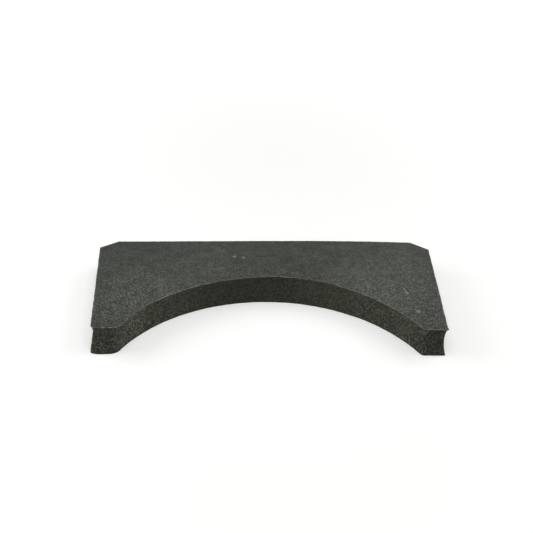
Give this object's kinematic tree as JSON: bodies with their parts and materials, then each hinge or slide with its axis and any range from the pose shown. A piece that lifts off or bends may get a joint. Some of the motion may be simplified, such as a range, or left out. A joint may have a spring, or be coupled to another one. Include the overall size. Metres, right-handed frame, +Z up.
{
  "type": "rubber pump pad",
  "caption": "Flat pad cut from thick black rubber sheet, with a wide round cradle in one long edge and the two far corners cut off, for resting a pump's motor shell on.",
  "frame": {"origin": "centre of the bounding box on the underside of the pad", "axes": "+X along the pad, +Y from the two feet towards the back edge, +Z up through the sheet"},
  "size_m": [0.14, 0.064, 0.0127],
  "materials": {
    "rubber": "matt black-grey sheet rubber with a fine dusty grain; the cut faces are darker and coarser"
  },
  "bodies": {
    "root": {"pump_pad": "rubber"}
  },
  "joints": []
}
